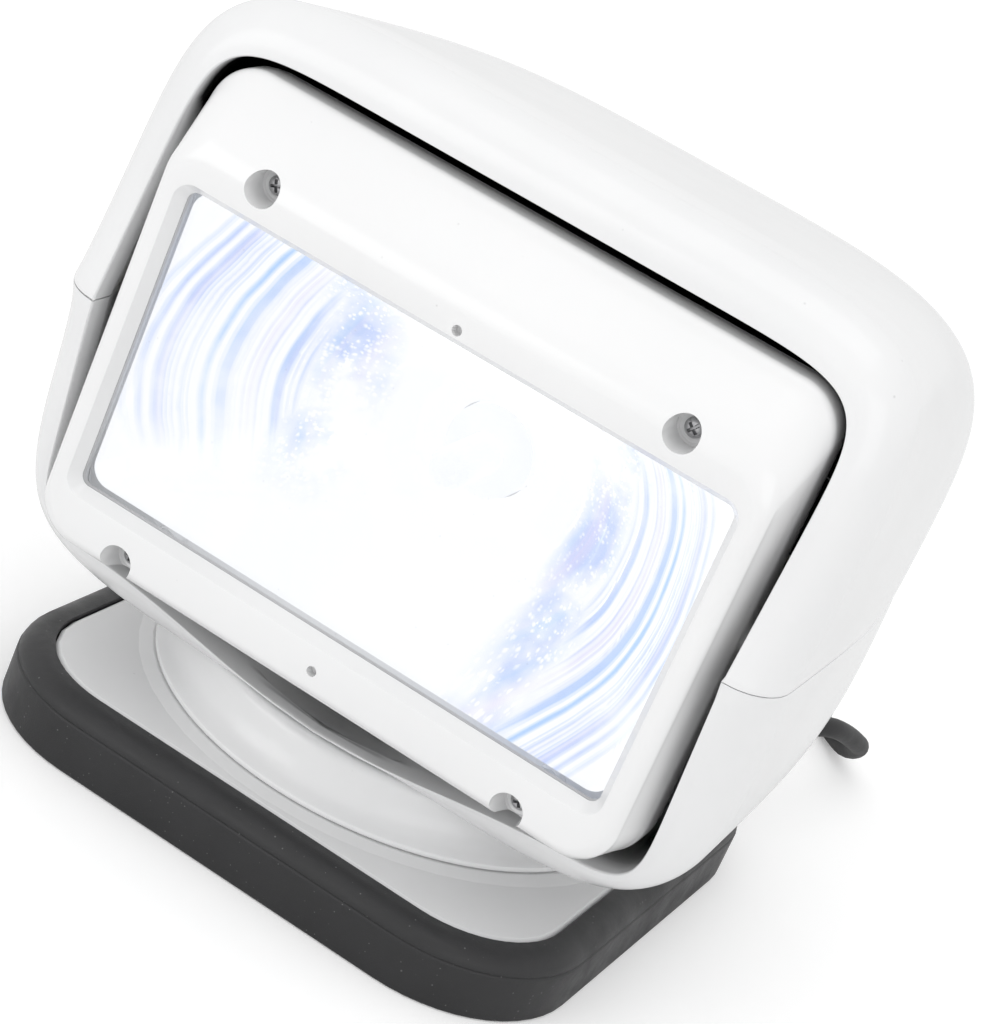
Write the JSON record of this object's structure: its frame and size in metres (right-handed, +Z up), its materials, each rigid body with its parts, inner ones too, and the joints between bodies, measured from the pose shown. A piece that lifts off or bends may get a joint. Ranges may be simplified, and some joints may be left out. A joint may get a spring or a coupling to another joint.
{
  "type": "marine searchlight",
  "caption": "Marine searchlight: a hooded housing pans on a rubber-booted magnetic base and a wide lamp head tilts inside it on side pins, both driven by small gears",
  "frame": {"origin": "on the floor under the pan axis, which is the middle of the underside of the light without its cord", "axes": "+X right across the lamp face as seen by a viewer in front, +Y to the rear, so the beam leaves along -Y, +Z up along the pan axis"},
  "size_m": [0.2325, 0.3185, 0.2177],
  "materials": {
    "white_plastic": "glossy white moulded plastic",
    "plate_plastic": "satin light grey moulded plastic",
    "boot_rubber": "satin black rubber",
    "cord_rubber": "satin black cable rubber",
    "lens_glass": "clear glass",
    "mirror": "vacuum-plated mirror coat",
    "steel": "plain turned and stamped steel",
    "magnet": "dark sintered ferrite",
    "gear_plastic": "natural acetal",
    "motor_metal": "drawn steel motor can",
    "board": "green lacquered circuit board",
    "driver_case": "dull cast aluminium",
    "brass": "bare turned brass"
  },
  "bodies": {
    "base": {"rubber_boot": "boot_rubber", "magnet_front_left": "magnet", "magnet_front_right": "magnet", "magnet_rear_left": "magnet", "magnet_rear_right": "magnet", "steel_keeper": "steel", "base_plate": "plate_plastic", "spindle": "steel", "thrust_washer": "steel", "spindle_nut": "steel", "sun_gear": "gear_plastic", "strain_relief": "cord_rubber", "lead": "cord_rubber", "lead_coil": "cord_rubber", "lead_tail": "cord_rubber", "plug_body": "cord_rubber", "plug_nose": "cord_rubber", "plug_contact": "brass"},
    "housing": {"lower_shell": "white_plastic", "upper_hood": "white_plastic", "bush_left": "gear_plastic", "bush_right": "gear_plastic", "lamp_driver": "driver_case", "control_board": "board", "pan_motor": "motor_metal", "tilt_motor": "motor_metal"},
    "pan_drive": {"pan_pinion": "gear_plastic"},
    "tilt_drive": {"tilt_pinion": "gear_plastic"},
    "head": {"front_frame": "white_plastic", "lens_gasket": "boot_rubber", "lens": "lens_glass", "reflector": "mirror", "rear_case": "white_plastic", "bulb": "lens_glass", "bulb_holder": "driver_case", "back_cap": "boot_rubber", "trunnion_left": "steel", "trunnion_right": "steel", "tilt_gear": "gear_plastic", "face_screw_1": "steel", "face_screw_2": "steel", "face_screw_3": "steel", "face_screw_4": "steel"}
  },
  "joints": [
    {"name": "pan", "type": "hinge", "parent": "base", "child": "housing", "pos_m": [0, 0, 0.022], "axis": [0, 0, 1], "range_deg": [-180, 180]},
    {"name": "tilt", "type": "hinge", "parent": "housing", "child": "head", "pos_m": [0, -0.048, 0.122], "axis": [-1, 0, 0], "range_deg": [-40, 70]},
    {"name": "pan_pinion_spin", "type": "hinge", "parent": "housing", "child": "pan_drive", "pos_m": [0, 0.0315, 0.0266], "axis": [0, 0, 1], "range_deg": [-460, 460]},
    {"name": "tilt_pinion_spin", "type": "hinge", "parent": "housing", "child": "tilt_drive", "pos_m": [0.092, -0.0184, 0.11123], "axis": [-1, 0, 0], "range_deg": [-185, 110]}
  ],
  "couplings": [
    {"joint": "pan_pinion_spin", "follows": "pan", "ratio": 2.5},
    {"joint": "tilt_pinion_spin", "follows": "tilt", "ratio": -2.5}
  ]
}
